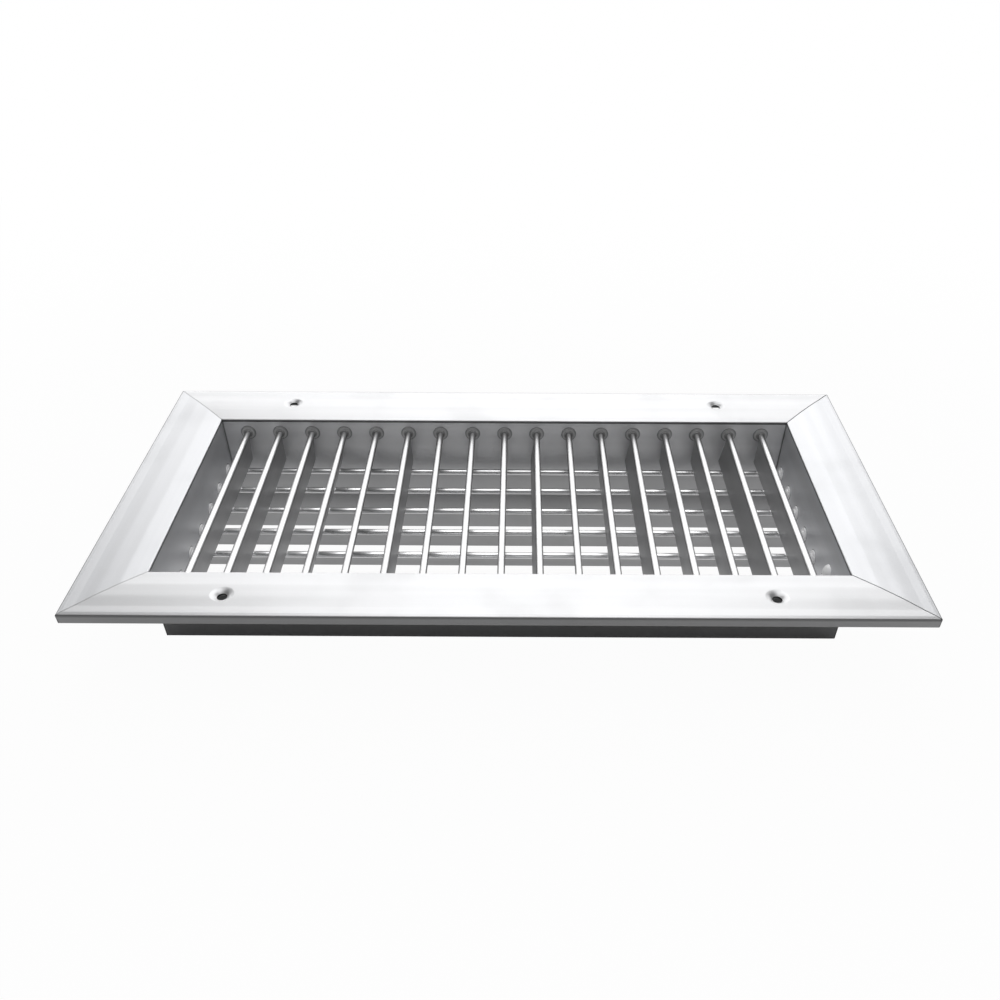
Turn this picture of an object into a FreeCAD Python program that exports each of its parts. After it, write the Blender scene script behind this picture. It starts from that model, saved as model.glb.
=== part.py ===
import FreeCAD, Part
import math
import os

from FreeCAD import Vector

# Supply air grille with two crossed rows of turning blades, in millimetres.
# It lies face up: X runs along the long side, Y from the near side to the far side, and Z is up.
# The origin is the middle of the neck's rear edge, which the grille stands on.

# Neck that slides into the duct, outside sizes, and the flange around it
NECK_LENGTH = 347.0
NECK_WIDTH = 145.0
FLANGE_OVERHANG = 31.5
WALL = 1.2
FLANGE_SKIN = 1.3
LIP_HEIGHT = 5.0
CUT_MARGIN = 2.0

# Crown of the flange: each point is in from the outer edge, and above the lip's top.
# The band slopes down from the shoulder to the edge of the opening.
RIM_IN = 2.0
RIM_RISE = 0.35
VALLEY_IN = 6.5
VALLEY_RISE = 0.2
CREST_IN = 13.0
CREST_RISE = 0.45
SHOULDER_FROM_OPENING = 10.4
SHOULDER_RISE = 0.05
OPENING_DROP = 1.0
LIP_ROUND = 0.35
RIM_ROUND = 4.0
VALLEY_ROUND = 10.0
CREST_ROUND = 40.0
SHOULDER_ROUND = 25.0
OPENING_ROUND = 0.8

# Mitred corners: the two on the right are a little open, the two on the left are tight
MITRE_GAP_RIGHT = 0.4
MITRE_GAP_LEFT = 0.1

# Flat corner keys in the channel behind the flange
KEY_WIDTH = 10.0
KEY_THICKNESS = 1.6
KEY_LEG = 30.0
KEY_SIDE_PLAY = 0.1
KEY_LIFT_PLAY = 0.05
KEY_CORNER_ROUND = 1.5
CHANNEL_FROM_EDGE = 9.5
CHANNEL_LEDGE_BELOW = 0.35
RIB_THICKNESS = 1.1
RIB_HOOK = 0.9
LEDGE_WIDTH = 1.0

# Screw holes in the near and far flange: the punch draws the metal down softly towards each hole
SCREW_FROM_END = 73.3
SCREW_HOLE_RADIUS = 2.4
DIMPLE_RADIUS = 6.6
DIMPLE_DEPTH = 1.5
DIMPLE_LAND = 0.12
DIMPLE_START = 0.04
DIMPLE_SKIN = 1.0

# Blades: a round nose bead that holds the end pins, and a thin tapered web behind it.
# The end space is from a neck wall to the first pivot of a row.
BEAD_RADIUS = 1.9
WEB_ROOT = 1.5
WEB_TAIL = 0.9
FRONT_REACH = 18.5
REAR_REACH = 11.6
FRONT_END_SPACE = 14.7
REAR_END_SPACE = 10.1

# Heights of the two rows, below the lip's top
FRONT_PIVOT_DEPTH = 10.0
ROW_GAP = 1.4
REAR_EDGE_RECESS = 0.3

# One angle for each blade, in degrees: how far its tail leans at rest.
# Front tails lean towards +X, from the left blade on, and rear tails towards +Y, from the nearest on.
FRONT_LEAN_ANGLES = (-2.5, 2, -2.5, -11, -15, 4.5, -9, -5, -3, -9.5, 4.5, -2, -9.5, -3.5, -4, -11, -3)
REAR_LEAN_ANGLES = (8, 15, 23, 13, 4.5, -12, -3)

# End pins and the bushes that they turn in
PIN_RADIUS = 1.2
PIN_PLAY = 0.05
PIN_ROOT = 8.0
PIN_SHORT_OF_BUSH = 0.2
PIN_CHAMFER = 0.3
BUSH_HEAD_RADIUS = 4.1
BUSH_HEAD_THICKNESS = 0.8
BUSH_COLLAR_RADIUS = 2.4
BUSH_COLLAR_LENGTH = 0.9
BUSH_SHANK_RADIUS = 2.1
BUSH_HOLE_PLAY = 0.05
BUSH_BARB_RADIUS = 2.6
BUSH_BARB_LENGTH = 1.3
BUSH_ROUND = 0.25
FRONT_END_PLAY = 0.3
REAR_END_PLAY = 1.9

# Domed plug in the right neck wall, between the two rows
PLUG_FROM_MIDDLE = 44.5
PLUG_DEPTH = 22.0
PLUG_RADIUS = 4.2
PLUG_HEIGHT = 3.0
PLUG_SHANK_RADIUS = 2.4

# Worked-out sizes that more than one piece uses
face_length = NECK_LENGTH + 2 * FLANGE_OVERHANG
face_width = NECK_WIDTH + 2 * FLANGE_OVERHANG
opening_in = FLANGE_OVERHANG + WALL
opening_length = face_length - 2 * opening_in
opening_width = face_width - 2 * opening_in
rear_pivot_depth = FRONT_PIVOT_DEPTH + FRONT_REACH + ROW_GAP + BEAD_RADIUS
neck_depth = rear_pivot_depth + REAR_REACH + REAR_EDGE_RECESS
channel_middle = CHANNEL_FROM_EDGE + KEY_SIDE_PLAY + KEY_WIDTH / 2
bush_inside = BUSH_HEAD_THICKNESS + BUSH_COLLAR_LENGTH
bush_outside = WALL + BUSH_BARB_LENGTH
hole_radius = BUSH_SHANK_RADIUS + BUSH_HOLE_PLAY
UP = Vector(0, 0, 1)


def limited_corner(before, here, after, radius):
    """Start, middle and end of the arc that rounds one corner, no longer than its sides allow."""
    back = before - here
    ahead = after - here
    half_angle = back.getAngle(ahead) / 2
    reach = min(radius / math.tan(half_angle), 0.45 * min(back.Length, ahead.Length))
    radius = reach * math.tan(half_angle)
    back.normalize()
    ahead.normalize()
    inward = (back + ahead).normalize()
    centre = here + inward * (radius / math.sin(half_angle))
    return here + back * reach, centre - inward * radius, here + ahead * reach


def rounded_outline(corners):
    """Closed wire in the YZ plane through (y, z, radius) corners, each rounded by its radius."""
    points = [Vector(0, y, z) for y, z, radius in corners]
    stretches = []
    for i, (y, z, radius) in enumerate(corners):
        after = points[(i + 1) % len(points)]
        if radius > 0:
            stretches.append(limited_corner(points[i - 1], points[i], after, radius))
        else:
            stretches.append((points[i], None, points[i]))
    edges = []
    for i, (start, middle, end) in enumerate(stretches):
        if middle is not None:
            edges.append(Part.Arc(start, middle, end).toShape())
        edges.append(Part.makeLine(end, stretches[(i + 1) % len(stretches)][0]))
    return Part.Wire(edges)


crown_corners = [
    (0, 0, LIP_ROUND),
    (RIM_IN, RIM_RISE, RIM_ROUND),
    (VALLEY_IN, VALLEY_RISE, VALLEY_ROUND),
    (CREST_IN, CREST_RISE, CREST_ROUND),
    (opening_in - SHOULDER_FROM_OPENING, SHOULDER_RISE, SHOULDER_ROUND),
    (opening_in, -OPENING_DROP, OPENING_ROUND),
]


def crown_at(inset):
    """Height of the flange's top above the lip's top, and its slope, at a distance in from the edge."""
    for (low_in, low_rise, _), (high_in, high_rise, _) in zip(crown_corners, crown_corners[1:]):
        if inset <= high_in:
            slope = (high_rise - low_rise) / (high_in - low_in)
            return low_rise + slope * (inset - low_in), slope


def crown_rise(inset):
    """Height of the flange's top above the lip's top."""
    return crown_at(inset)[0]


def channel_levels():
    """Heights, from the lip's top, of the ledges the key lies against and of its lower face."""
    ledge = crown_rise(CHANNEL_FROM_EDGE) - FLANGE_SKIN - CHANNEL_LEDGE_BELOW
    return ledge, ledge - KEY_THICKNESS


def frame_section():
    """Corners of the extruded frame section: in from the outer edge, height, corner radius."""
    channel_end = CHANNEL_FROM_EDGE + KEY_WIDTH + 2 * KEY_SIDE_PLAY
    ledge, key_low = channel_levels()
    hook_top = key_low - KEY_LIFT_PLAY
    hook_low = hook_top - RIB_THICKNESS
    outer_rib = CHANNEL_FROM_EDGE - RIB_THICKNESS
    inner_rib = channel_end + RIB_THICKNESS
    outer_ledge = CHANNEL_FROM_EDGE + LEDGE_WIDTH
    inner_ledge = channel_end - LEDGE_WIDTH

    def under(inset):
        return crown_rise(inset) - FLANGE_SKIN

    return [
        (0, -LIP_HEIGHT, 0.2),
        *crown_corners,
        (opening_in, -neck_depth, 0.2),
        (FLANGE_OVERHANG, -neck_depth, 0.2),
        (FLANGE_OVERHANG, under(FLANGE_OVERHANG), 0.5),
        (inner_rib, under(inner_rib), 0.3),
        (inner_rib, hook_low, 0.2),
        (channel_end - RIB_HOOK, hook_low, 0.2),
        (channel_end - RIB_HOOK, hook_top, 0),
        (channel_end, hook_top, 0),
        (channel_end, ledge, 0),
        (inner_ledge, ledge, 0),
        (inner_ledge, under(inner_ledge), 0),
        (outer_ledge, under(outer_ledge), 0),
        (outer_ledge, ledge, 0),
        (CHANNEL_FROM_EDGE, ledge, 0),
        (CHANNEL_FROM_EDGE, hook_top, 0),
        (CHANNEL_FROM_EDGE + RIB_HOOK, hook_top, 0),
        (CHANNEL_FROM_EDGE + RIB_HOOK, hook_low, 0.2),
        (outer_rib, hook_low, 0.2),
        (outer_rib, under(outer_rib), 0.3),
        (WALL, under(RIM_IN), 0.3),
        (WALL, -LIP_HEIGHT, 0.2),
    ]


def round_hole(radius, middle, direction, length):
    """Cutting cylinder with its middle on a point."""
    start = middle - direction * (length / 2)
    return Part.makeCylinder(radius, length, start, direction)


def dimple_funnel(x, y):
    """Soft funnel square to the crown, to be cut from the flange at one screw.

    Its side is one arc, level a hair above the crown and steepest at the narrow land round the hole.
    """
    rise, slope = crown_at(y)
    land_radius = SCREW_HOLE_RADIUS + DIMPLE_LAND
    width = DIMPLE_RADIUS - land_radius
    drop = DIMPLE_DEPTH + DIMPLE_START
    arc_radius = (width ** 2 + drop ** 2) / (2 * drop)
    half_turn = math.asin(width / arc_radius) / 2
    rim = Vector(DIMPLE_RADIUS, 0, DIMPLE_START)
    middle = rim + Vector(-arc_radius * math.sin(half_turn), 0, arc_radius * (math.cos(half_turn) - 1))
    land_edge = Vector(land_radius, 0, -DIMPLE_DEPTH)
    above = Vector(0, 0, CUT_MARGIN)
    outline = Part.Wire([
        Part.Arc(rim, middle, land_edge).toShape(),
        Part.makePolygon([land_edge, Vector(0, 0, -DIMPLE_DEPTH), above, rim + above, rim]),
    ])
    funnel = Part.Face(outline).revolve(Vector(0, 0, 0), UP, 360)
    funnel.rotate(Vector(0, 0, 0), Vector(1, 0, 0), math.degrees(math.atan(slope)))
    funnel.translate(Vector(x, y, neck_depth + rise))
    return funnel


def dimple_bulge(x, y):
    """Metal that the dimple pushes out behind the flange."""
    top = neck_depth + crown_rise(channel_middle) - FLANGE_SKIN / 2
    depth = DIMPLE_DEPTH + DIMPLE_SKIN - FLANGE_SKIN / 2
    low = Vector(x, y, top - depth)
    return Part.makeCone(SCREW_HOLE_RADIUS + DIMPLE_SKIN, DIMPLE_RADIUS, depth, low, UP)


def frame_member(length, start_gap, end_gap):
    """One mitred extrusion along X, its outer edge on Y = 0 and its opening side towards +Y."""
    corners = [(y, z + neck_depth, radius) for y, z, radius in frame_section()]
    section = Part.Face(rounded_outline(corners))
    section.translate(Vector(-length / 2, 0, 0))
    bar = section.extrude(Vector(length, 0, 0))
    start = -length / 2 + start_gap / math.sqrt(2)
    end = length / 2 - end_gap / math.sqrt(2)
    depth = opening_in + WALL
    plan = Part.makePolygon([
        Vector(start, 0, -CUT_MARGIN),
        Vector(end, 0, -CUT_MARGIN),
        Vector(end - depth, depth, -CUT_MARGIN),
        Vector(start + depth, depth, -CUT_MARGIN),
        Vector(start, 0, -CUT_MARGIN),
    ])
    mitres = Part.Face(plan).extrude(Vector(0, 0, neck_depth + CREST_RISE + 2 * CUT_MARGIN))
    return bar.common(mitres)


def row_places(opening, end_space, angles):
    """Even places for a row of blades, one for each angle, between the first and the last."""
    first = end_space - opening / 2
    pitch = -2 * first / (len(angles) - 1)
    return [first + i * pitch for i in range(len(angles))]


front_places = row_places(opening_length, FRONT_END_SPACE, FRONT_LEAN_ANGLES)
rear_places = row_places(opening_width, REAR_END_SPACE, REAR_LEAN_ANGLES)


def bush_holes(member, places, height):
    """Cut a row of bush holes through the neck wall of one member."""
    wall_middle = FLANGE_OVERHANG + WALL / 2
    for x in places:
        middle = Vector(x, wall_middle, height)
        member = member.cut(round_hole(hole_radius, middle, Vector(0, 1, 0), WALL + CUT_MARGIN))
    return member


def long_member():
    """Near or far frame member: bush holes for the front row and two dimpled screw holes."""
    member = frame_member(face_length, MITRE_GAP_LEFT, MITRE_GAP_RIGHT)
    screw_places = (SCREW_FROM_END - face_length / 2, face_length / 2 - SCREW_FROM_END)
    for x in screw_places:
        member = member.fuse(dimple_bulge(x, channel_middle))
    for x in screw_places:
        member = member.cut(dimple_funnel(x, channel_middle))
        bore_middle = Vector(x, channel_middle, neck_depth)
        member = member.cut(round_hole(SCREW_HOLE_RADIUS, bore_middle, UP, LIP_HEIGHT + CUT_MARGIN))
    return bush_holes(member, front_places, neck_depth - FRONT_PIVOT_DEPTH)


def short_member(gap):
    """Left or right frame member: bush holes for the rear row."""
    member = frame_member(face_width, gap, gap)
    return bush_holes(member, rear_places, neck_depth - rear_pivot_depth)


def onto_side(shape, turn, x, y):
    """Turn a piece about Z and set its outer edge on one side of the face."""
    shape.rotate(Vector(0, 0, 0), UP, turn)
    shape.translate(Vector(x, y, 0))
    return shape


def far_member():
    """The far member is the near one mirrored, so that its open mitre stays on the right."""
    member = long_member().mirror(Vector(0, 0, 0), Vector(0, 1, 0))
    return onto_side(member, 0, 0, face_width / 2)


def right_member():
    """Right frame member with the hole of its plug."""
    member = onto_side(short_member(MITRE_GAP_RIGHT), 90, face_length / 2, 0)
    middle = Vector(opening_length / 2 + WALL / 2, -PLUG_FROM_MIDDLE, neck_depth - PLUG_DEPTH)
    bore = round_hole(PLUG_SHANK_RADIUS + BUSH_HOLE_PLAY, middle, Vector(1, 0, 0), WALL + CUT_MARGIN)
    return member.cut(bore)


def corner_key(side_x, side_y):
    """Flat L-shaped key lying in the channels of two members that meet at a corner."""
    ledge, key_low = channel_levels()
    edge = CHANNEL_FROM_EDGE + KEY_SIDE_PLAY
    inner = edge + KEY_WIDTH
    corners = [
        (edge, edge, KEY_CORNER_ROUND),
        (edge + KEY_LEG, edge, KEY_CORNER_ROUND),
        (edge + KEY_LEG, inner, KEY_CORNER_ROUND),
        (inner, inner, 0),
        (inner, edge + KEY_LEG, KEY_CORNER_ROUND),
        (edge, edge + KEY_LEG, KEY_CORNER_ROUND),
    ]
    key = Part.Face(rounded_outline(corners)).extrude(Vector(KEY_THICKNESS, 0, 0))
    key.rotate(Vector(0, 0, 0), Vector(1, 1, 1), -120)
    key.translate(Vector(-face_length / 2, -face_width / 2, neck_depth + key_low))
    if side_x > 0:
        key = key.mirror(Vector(0, 0, 0), Vector(1, 0, 0))
    if side_y > 0:
        key = key.mirror(Vector(0, 0, 0), Vector(0, 1, 0))
    return key


def turned_profile(corners):
    """Solid turned about X from (x, radius, corner radius) corners."""
    outline = rounded_outline(corners)
    outline.rotate(Vector(0, 0, 0), UP, -90)
    return Part.Face(outline).revolve(Vector(0, 0, 0), Vector(1, 0, 0), 360)


def bush():
    """Snap-in bush on the X axis: its head lies on X = 0 and its collar points to +X."""
    bore = PIN_RADIUS + PIN_PLAY
    snap = WALL + BUSH_HOLE_PLAY
    return turned_profile([
        (bush_inside, bore, 0),
        (bush_inside, BUSH_COLLAR_RADIUS, BUSH_ROUND),
        (BUSH_HEAD_THICKNESS, BUSH_COLLAR_RADIUS, BUSH_ROUND),
        (BUSH_HEAD_THICKNESS, BUSH_HEAD_RADIUS, BUSH_ROUND),
        (0, BUSH_HEAD_RADIUS, 0),
        (0, BUSH_SHANK_RADIUS, 0),
        (-snap, BUSH_SHANK_RADIUS, 0),
        (-snap, BUSH_BARB_RADIUS, 0),
        (-bush_outside, BUSH_SHANK_RADIUS, 0),
        (-bush_outside, bore, 0),
    ])


def wall_plug():
    """Domed plug in the right wall, on a plain snap-in shank."""
    snap = WALL + BUSH_HOLE_PLAY
    sphere_radius = (PLUG_RADIUS ** 2 + PLUG_HEIGHT ** 2) / (2 * PLUG_HEIGHT)
    dome = Part.makeSphere(sphere_radius, Vector(PLUG_HEIGHT - sphere_radius, 0, 0))
    size = 2 * sphere_radius
    above = Part.makeBox(size, size, size, Vector(0, -size / 2, -size / 2))
    stem = turned_profile([
        (0, 0, 0),
        (0, PLUG_SHANK_RADIUS, 0),
        (-snap, PLUG_SHANK_RADIUS, 0),
        (-snap, PLUG_SHANK_RADIUS + BUSH_BARB_RADIUS - BUSH_SHANK_RADIUS, 0),
        (-bush_outside, PLUG_SHANK_RADIUS, 0),
        (-bush_outside, 0, 0),
    ])
    plug = dome.common(above).fuse(stem)
    plug.rotate(Vector(0, 0, 0), UP, 180)
    plug.translate(Vector(opening_length / 2, -PLUG_FROM_MIDDLE, neck_depth - PLUG_DEPTH))
    return plug


def blade_section(reach):
    """Face of a blade's section in the YZ plane: bead on the pivot, web hanging down."""
    root = WEB_ROOT / 2
    tail = WEB_TAIL / 2
    root_low = -math.sqrt(BEAD_RADIUS ** 2 - root ** 2)
    tail_low = -(reach - tail)
    nose = Part.Arc(Vector(0, root, root_low), Vector(0, 0, BEAD_RADIUS), Vector(0, -root, root_low))
    end = Part.Arc(Vector(0, -tail, tail_low), Vector(0, 0, -reach), Vector(0, tail, tail_low))
    near_side = Part.makeLine(Vector(0, -root, root_low), Vector(0, -tail, tail_low))
    far_side = Part.makeLine(Vector(0, tail, tail_low), Vector(0, root, root_low))
    return Part.Face(Part.Wire([nose.toShape(), near_side, end.toShape(), far_side]))


def end_pin(root, tip):
    """Pin along X from inside the bead to its chamfered tip."""
    return turned_profile([
        (root, 0, 0),
        (root, PIN_RADIUS, 0),
        (tip - PIN_CHAMFER, PIN_RADIUS, 0),
        (tip, PIN_RADIUS - PIN_CHAMFER, 0),
        (tip, 0, 0),
    ])


def blade(opening, end_play, reach, lean):
    """Blade along X on its pivot, with both end pins, its tail leaning towards +Y."""
    half = opening / 2 - bush_inside - end_play
    section = blade_section(reach)
    section.translate(Vector(-half, 0, 0))
    body = section.extrude(Vector(2 * half, 0, 0))
    tip = opening / 2 + bush_outside - PIN_SHORT_OF_BUSH
    pin = end_pin(half - PIN_ROOT, tip)
    other_pin = pin.mirror(Vector(0, 0, 0), Vector(1, 0, 0))
    body = body.fuse([pin, other_pin]).removeSplitter()
    body.rotate(Vector(0, 0, 0), Vector(1, 0, 0), lean)
    return body


def front_blade(x, lean):
    """Blade that runs from the near to the far side."""
    piece = blade(opening_width, FRONT_END_PLAY, FRONT_REACH, lean)
    piece.rotate(Vector(0, 0, 0), UP, -90)
    piece.translate(Vector(x, 0, neck_depth - FRONT_PIVOT_DEPTH))
    return piece


def rear_blade(y, lean):
    """Blade that runs from the left to the right side."""
    piece = blade(opening_length, REAR_END_PLAY, REAR_REACH, lean)
    piece.translate(Vector(0, y, neck_depth - rear_pivot_depth))
    return piece


def front_bush(x, side):
    """Bush of the front row in the near wall (side -1) or the far wall (side 1)."""
    piece = bush()
    piece.rotate(Vector(0, 0, 0), UP, -90 * side)
    piece.translate(Vector(x, side * opening_width / 2, neck_depth - FRONT_PIVOT_DEPTH))
    return piece


def rear_bush(y, side):
    """Bush of the rear row in the left wall (side -1) or the right wall (side 1)."""
    piece = bush()
    if side > 0:
        piece.rotate(Vector(0, 0, 0), UP, 180)
    piece.translate(Vector(side * opening_length / 2, y, neck_depth - rear_pivot_depth))
    return piece


def save(node, shape):
    """Write one node's STEP file."""
    shape.exportStep("parts/" + node + ".step")


os.makedirs("parts", exist_ok=True)

save("frame_near", onto_side(long_member(), 0, 0, -face_width / 2))
save("frame_far", far_member())
save("frame_left", onto_side(short_member(MITRE_GAP_LEFT), -90, -face_length / 2, 0))
save("frame_right", right_member())

save("corner_key_near_left", corner_key(-1, -1))
save("corner_key_near_right", corner_key(1, -1))
save("corner_key_far_left", corner_key(-1, 1))
save("corner_key_far_right", corner_key(1, 1))

for number, (x, lean) in enumerate(zip(front_places, FRONT_LEAN_ANGLES), start=1):
    save("front_blade_%02d" % number, front_blade(x, lean))

for number, (y, lean) in enumerate(zip(rear_places, REAR_LEAN_ANGLES), start=1):
    save("rear_blade_%d" % number, rear_blade(y, lean))
    save("rear_bush_left_%d" % number, rear_bush(y, -1))
    save("rear_bush_right_%d" % number, rear_bush(y, 1))

save("front_bushes_near", Part.makeCompound([front_bush(x, -1) for x in front_places]))
save("front_bushes_far", Part.makeCompound([front_bush(x, 1) for x in front_places]))
save("neck_wall_plug", wall_plug())
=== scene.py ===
import math

import bmesh
import bpy
from bpy.props import FloatProperty, FloatVectorProperty, PointerProperty
from mathutils import Matrix, Vector


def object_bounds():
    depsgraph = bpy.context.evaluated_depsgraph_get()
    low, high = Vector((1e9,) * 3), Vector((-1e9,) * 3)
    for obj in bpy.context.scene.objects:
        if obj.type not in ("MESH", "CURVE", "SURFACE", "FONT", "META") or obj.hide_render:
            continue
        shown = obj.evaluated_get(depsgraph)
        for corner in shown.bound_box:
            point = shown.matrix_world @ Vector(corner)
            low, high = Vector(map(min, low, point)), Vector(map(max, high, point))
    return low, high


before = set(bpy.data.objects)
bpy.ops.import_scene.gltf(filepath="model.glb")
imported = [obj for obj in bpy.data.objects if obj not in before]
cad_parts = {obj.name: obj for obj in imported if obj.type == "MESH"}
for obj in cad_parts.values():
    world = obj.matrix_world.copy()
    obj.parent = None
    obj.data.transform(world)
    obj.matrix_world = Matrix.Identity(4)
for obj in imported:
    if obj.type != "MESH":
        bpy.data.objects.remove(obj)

bl_info = {
    "name": "Supply air grille",
    "version": (1, 0, 0),
    "blender": (4, 5, 0),
    "location": "3D View > Sidebar > Grille",
    "description": "Finishes the supply air grille and sets up its studio",
    "category": "Object",
}

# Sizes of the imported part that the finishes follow, in metres
CAD_BOX = [list(corner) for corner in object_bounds()]
FACE_HALF_LENGTH = CAD_BOX[1][0]
FACE_HALF_WIDTH = CAD_BOX[1][1]
NECK_HALF_LENGTH = 0.1735
NECK_HALF_WIDTH = 0.0725
WALL = 0.0012
LIP_TOP = 0.0437
SCREW_HALF_LENGTH = 0.1317
SCREW_HALF_WIDTH = 0.0894
SCREW_HOLE_RADIUS = 0.0024
FRONT_PIVOTS = {"First": -0.1576, "Pitch": 0.0197, "Height": 0.0337}
REAR_PIVOTS = {"First": -0.0612, "Pitch": 0.0204, "Height": 0.0119}
BUSH_HEAD_RADIUS = 0.0041
BUSH_COLLAR_RADIUS = 0.0024
FRONT_BEAD_START = 0.0322
REAR_BEAD_START = 0.0104

# Which way an extrusion runs, and how far its die lines are drawn out that way
ALONG_X = "X"
ALONG_Y = "Y"
LINE_STRETCH = 0.006

# Half the width over which one shade turns into the next at an edge
EDGE_BLUR = 0.0001
BEAD_BLUR = 0.0003

# Depths below the lip's top, in metres, between which a shade changes: the painted shade of the lip,
# the painted shade line and painted light on the inner walls, and the dark mitre joint at the neck's
# corners
LIP_DEPTHS = (0.0002, 0.0018)
EDGE_LINE_START = (0.0012, 0.0016)
EDGE_LINE_END = (0.0024, 0.0029)
INNER_WALL_DEPTHS = (0.003, 0.018)
NECK_CORNER_DEPTHS = (0.003, 0.002)

# Heights on the outer walls between which their painted shade under the flange comes and goes
SHELTER_START = (0.012, 0.026)
SHELTER_END = (0.034, 0.038)

# Distances from a mitre's line, or past the edge of a bore or a bush, between which a shade fades:
# the mitre's dark joint, and the painted shade in the bores, round the bush seats and on the bush heads
MITRE_FADE = (0.0003, 0.0009)
BORE_FADE = (0.00002, 0.0001)
BUSH_SEAT_FADE = (0.0002, 0.0008)
BUSH_EDGE_FADE = 0.0006

# Shades: how much brighter or darker than the plain metal a place is. The mitres and neck corners
# are dark joints; the lip, walls, edge line, shelter, bores, bush seats, bush heads and nose edges
# are painted light and shade
MITRE_SHADE = 0.78
NECK_CORNER_SHADE = 0.5
PAINTED_LIP_TOP_SHADE = 0.42
PAINTED_LIP_SHADE = 0.8
LONG_UPPER_WALL_PAINTED_LIGHT = 1.62
SHORT_UPPER_WALL_PAINTED_LIGHT = 1.2
LOWER_WALL_PAINTED_LIGHT = 1.33
PAINTED_EDGE_LINE_SHADE = 0.4
PAINTED_SHELTER_SHADE = 0.4
PAINTED_BORE_SHADE = 0.1
PAINTED_BUSH_SEAT_SHADE = 0.45
PAINTED_BUSH_RIM_SHADE = 0.6
PAINTED_BUSH_COLLAR_SHADE = 0.5
PAINTED_NOSE_EDGE_SHADE = 0.3

# The short sides' metal is a little cooler than the long sides'
COOL_TINT = (0.99, 0.995, 1.005)

# Anodised metal: how much it acts as bare metal, its shade where it is smudged or specked, and
# how much rougher smudges and lines make it
ANODISED_METALLIC = 0.88
SMUDGED_SHADE = 0.975
SPECK_SHADE = 0.65
SMUDGE_ROUGHNESS = 0.05
LINE_ROUGHNESS = 0.06

# Zinc plate: its dullness, its rolling lines and its smudges and specks
ZINC_ROUGHNESS = 0.34
ZINC_LINE_FINENESS = 500.0
ZINC_LINE_STRETCH = 0.2
ZINC_SMUDGED_SHADE = 0.88
ZINC_SMUDGE_ROUGHNESS = 0.15
ZINC_SPECK_SHARE = 0.05

# Height of the finest relief on zinc and nylon, in metres
FINE_RELIEF = 0.00001

# Nylon: its roughness, cloudiness, glow and shine, and whether it has the front bushes' round heads
# with their painted shade. The glow sets translucency and a painted glow, an emission that is no lamp
GREY_NYLON = {"roughness": 0.5, "cloud": 0.06, "glow": 0.0, "coat": 0.0, "headed": True}
NATURAL_NYLON = {"roughness": 0.3, "cloud": 0.05, "glow": 0.25, "coat": 0.6}
PLUG_NYLON = {"roughness": 0.34, "cloud": 0.04, "glow": 0.25, "coat": 0.4}
NYLON_PAINTED_GLOW_COLOUR = (0.97, 0.98, 1.0, 1.0)
NYLON_CLOUD_SCALE = 420.0
NYLON_TOOTH_SCALE = 5200.0
NYLON_UNEVENNESS = 0.14

# The floor lies a little below the part, and the shadow on it is gone at the end of its reach
FLOOR_DROP = 0.0002
SHADOW_REACH = 0.5

# White floor that metal mirrors under the neck, a painted glow that lights nothing and shows only
# in reflections, dimmed in the far part as painted shade of the far wall: how far it stays inside
# the neck, its blur, and where its near part ends and its far part starts
GLOW_MARGIN = 0.004
GLOW_BLUR = 0.003
NEAR_GLOW_END = -0.05
FAR_GLOW_START = -0.02

# Soft panels behind the grille: name, middle along X and Z, width and height
WINDOWS = (
    ("low_window", 0.0, 0.49, 3.8, 0.92),
    ("high_window", 0.1, 1.675, 1.7, 1.45),
    ("left_window", -1.325, 1.675, 1.15, 1.45),
    ("right_window", 1.425, 1.675, 0.95, 1.45),
)
CEILING_PLACE = (0.0, 0.3, 2.0)
CEILING_TARGET = (0.0, 0.3, 0.0)
CEILING_SIZE = (1.4, 1.9)


# Small helpers for shader trees

def add_node(tree, kind, inputs=None, **settings):
    """Add a node, set its options, and fill its sockets with values or with other nodes' outputs."""
    node = tree.nodes.new(kind)
    for name, value in settings.items():
        setattr(node, name, value)
    for name, value in (inputs or {}).items():
        if isinstance(value, bpy.types.NodeSocket):
            tree.links.new(value, node.inputs[name])
        else:
            node.inputs[name].default_value = value
    return node


def math_node(tree, operation, first, second=0.0, third=0.0):
    """Output of one arithmetic node."""
    node = add_node(tree, "ShaderNodeMath", {0: first, 1: second, 2: third}, operation=operation)
    return node.outputs[0]


def map_range(tree, value, low, high, new_low, new_high):
    """Output of a clamped smooth map from one range to another."""
    node = add_node(
        tree,
        "ShaderNodeMapRange",
        {"Value": value, "From Min": low, "From Max": high, "To Min": new_low, "To Max": new_high},
        interpolation_type="SMOOTHSTEP",
    )
    return node.outputs["Result"]


def split(tree, vector):
    """The three parts of a vector, along X, Y and Z."""
    return add_node(tree, "ShaderNodeSeparateXYZ", {0: vector}).outputs[:3]


def noise(tree, vector, scale, detail, roughness=0.5):
    """Value of one noise texture."""
    inputs = {"Vector": vector, "Scale": scale, "Detail": detail, "Roughness": roughness}
    return add_node(tree, "ShaderNodeTexNoise", inputs).outputs[0]


def product(tree, *values):
    """All the values multiplied together, from the first on."""
    result = values[0]
    for value in values[1:]:
        result = math_node(tree, "MULTIPLY", result, value)
    return result


def shade_where(tree, mask, shade):
    """One where the mask is zero, and the shade where it is one."""
    return math_node(tree, "MULTIPLY_ADD", mask, math_node(tree, "SUBTRACT", shade, 1.0), 1.0)


def flat_length(tree, first, second):
    """Length of an offset with two parts at right angles."""
    offset = add_node(tree, "ShaderNodeCombineXYZ", {0: first, 1: second})
    away = add_node(tree, "ShaderNodeVectorMath", {0: offset.outputs[0]}, operation="LENGTH")
    return away.outputs["Value"]


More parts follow.
